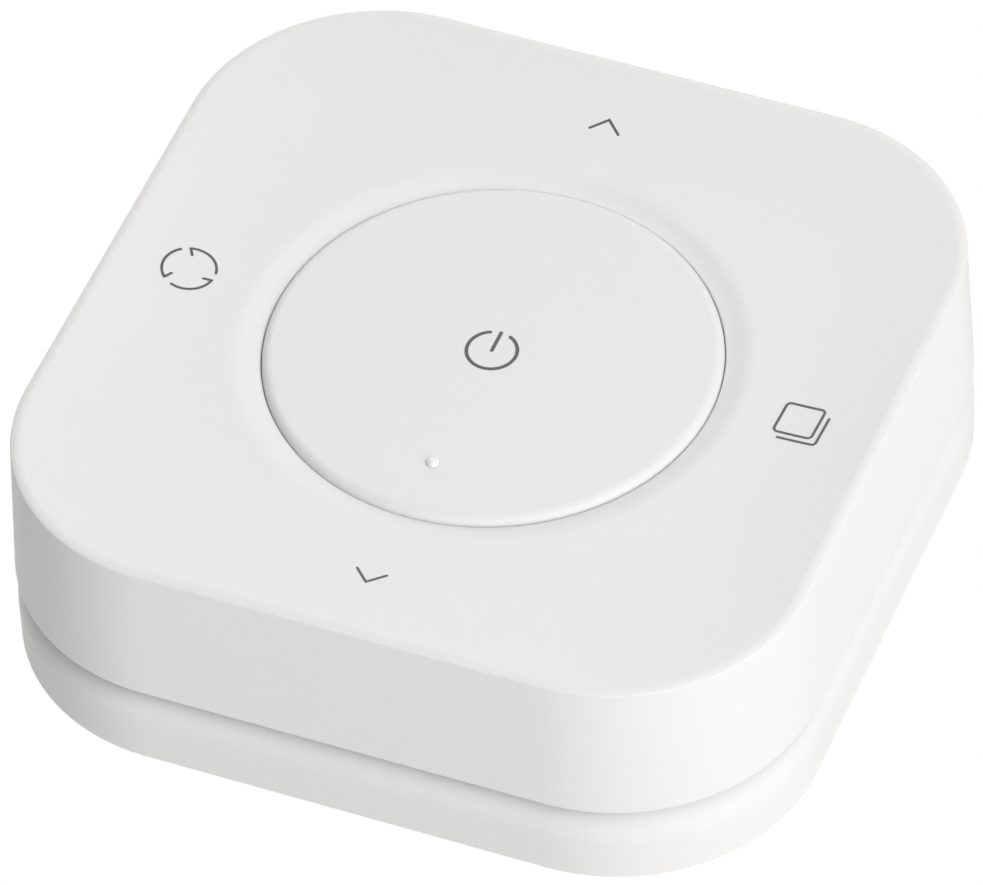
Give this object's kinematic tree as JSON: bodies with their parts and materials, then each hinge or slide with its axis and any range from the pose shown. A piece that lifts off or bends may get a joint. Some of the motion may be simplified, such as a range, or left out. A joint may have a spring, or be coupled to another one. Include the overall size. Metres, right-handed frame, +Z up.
{
  "type": "remote control switch",
  "caption": "Square wireless remote switch with a four-way rocking cover, a round power button in its middle, a light window and a coin-cell door in its base.",
  "frame": {"origin": "middle of the underside, on the plane that the rubber feet stand on", "axes": "+Z up through the power button, +Y towards the up mark, +X towards the stacked-squares mark"},
  "size_m": [0.065, 0.065, 0.0203],
  "materials": {
    "acetal": "natural acetal, slightly waxy",
    "base_plastic": "matt moulded ABS, warm white",
    "board_laminate": "green solder resist on glass-fibre laminate",
    "button_plastic": "matt moulded ABS, warm white, softly rounded rim",
    "cell_steel": "brushed nickel plated steel",
    "ceramic": "tan fired ceramic with tinned ends",
    "chip_black": "black epoxy package",
    "cover_plastic": "matt moulded ABS, warm white, fine spark-eroded grain",
    "floor_plastic": "matt moulded ABS, a shade greyer than the cover",
    "led_lens": "pale phosphor and clear resin",
    "light_guide": "clear acrylic, slightly milky",
    "plated_steel": "zinc plated steel",
    "rubber": "light grey silicone rubber",
    "spring_steel": "nickel plated spring steel",
    "switch_black": "black moulded switch housing",
    "switch_plunger": "ivory plunger"
  },
  "bodies": {
    "base": {"base_shell": "base_plastic", "bottom_plate": "floor_plastic", "base_screws": "plated_steel", "rubber_feet": "rubber", "coin_cell": "cell_steel", "negative_contact": "spring_steel", "positive_contact": "spring_steel", "circuit_board": "board_laminate", "board_screws": "plated_steel", "shield_can": "plated_steel", "radio_chip": "chip_black", "crystal": "plated_steel", "chip_antenna": "chip_black", "capacitors": "ceramic", "status_led": "led_lens", "switch_case_up": "switch_black", "switch_case_down": "switch_black", "switch_case_left": "switch_black", "switch_case_right": "switch_black", "switch_case_centre": "switch_black"},
    "door": {"battery_door": "floor_plastic"},
    "ring": {"tilt_ring": "acetal", "pivot_pins": "plated_steel"},
    "cover": {"top_cover": "cover_plastic", "rocker_plate": "acetal", "rocker_screws": "plated_steel"},
    "button": {"power_button": "button_plastic", "light_pipe": "light_guide", "button_spring": "spring_steel"},
    "stem_up": {"switch_stem_up": "switch_plunger"},
    "stem_down": {"switch_stem_down": "switch_plunger"},
    "stem_left": {"switch_stem_left": "switch_plunger"},
    "stem_right": {"switch_stem_right": "switch_plunger"},
    "stem_centre": {"switch_stem_centre": "switch_plunger"}
  },
  "joints": [
    {"name": "rock_up_down", "type": "hinge", "parent": "base", "child": "ring", "pos_m": [0, 0, 0.0126], "axis": [-1, 0, 0], "range_deg": [-0.477, 0.477], "stiffness_Nm_per_rad": 4},
    {"name": "rock_left_right", "type": "hinge", "parent": "ring", "child": "cover", "pos_m": [0, 0, 0.0126], "axis": [0, 1, 0], "range_deg": [-0.477, 0.477], "stiffness_Nm_per_rad": 4},
    {"name": "power_press", "type": "slide", "parent": "cover", "child": "button", "axis": [0, 0, -1], "range_m": [0, 0.0003], "stiffness_N_per_m": 3000, "springref_m": -0.00002, "deforming": ["button_spring"]},
    {"name": "battery_door_turn", "type": "hinge", "parent": "base", "child": "door", "pos_m": [0, 0, 0], "axis": [0, 0, -1], "range_deg": [0, 40]},
    {"name": "switch_up_travel", "type": "slide", "parent": "base", "child": "stem_up", "axis": [0, 0, -1], "range_m": [-0.0002, 0.0002]},
    {"name": "switch_down_travel", "type": "slide", "parent": "base", "child": "stem_down", "axis": [0, 0, -1], "range_m": [-0.0002, 0.0002]},
    {"name": "switch_left_travel", "type": "slide", "parent": "base", "child": "stem_left", "axis": [0, 0, -1], "range_m": [-0.0002, 0.0002]},
    {"name": "switch_right_travel", "type": "slide", "parent": "base", "child": "stem_right", "axis": [0, 0, -1], "range_m": [-0.0002, 0.0002]},
    {"name": "switch_centre_travel", "type": "slide", "parent": "base", "child": "stem_centre", "axis": [0, 0, -1], "range_m": [0, 0.0003]}
  ],
  "couplings": [
    {"joint": "switch_up_travel", "follows": "rock_up_down", "m_per_rad": 0.024},
    {"joint": "switch_down_travel", "follows": "rock_up_down", "m_per_rad": -0.024},
    {"joint": "switch_right_travel", "follows": "rock_left_right", "m_per_rad": 0.024},
    {"joint": "switch_left_travel", "follows": "rock_left_right", "m_per_rad": -0.024},
    {"joint": "switch_centre_travel", "follows": "power_press", "ratio": 1}
  ]
}
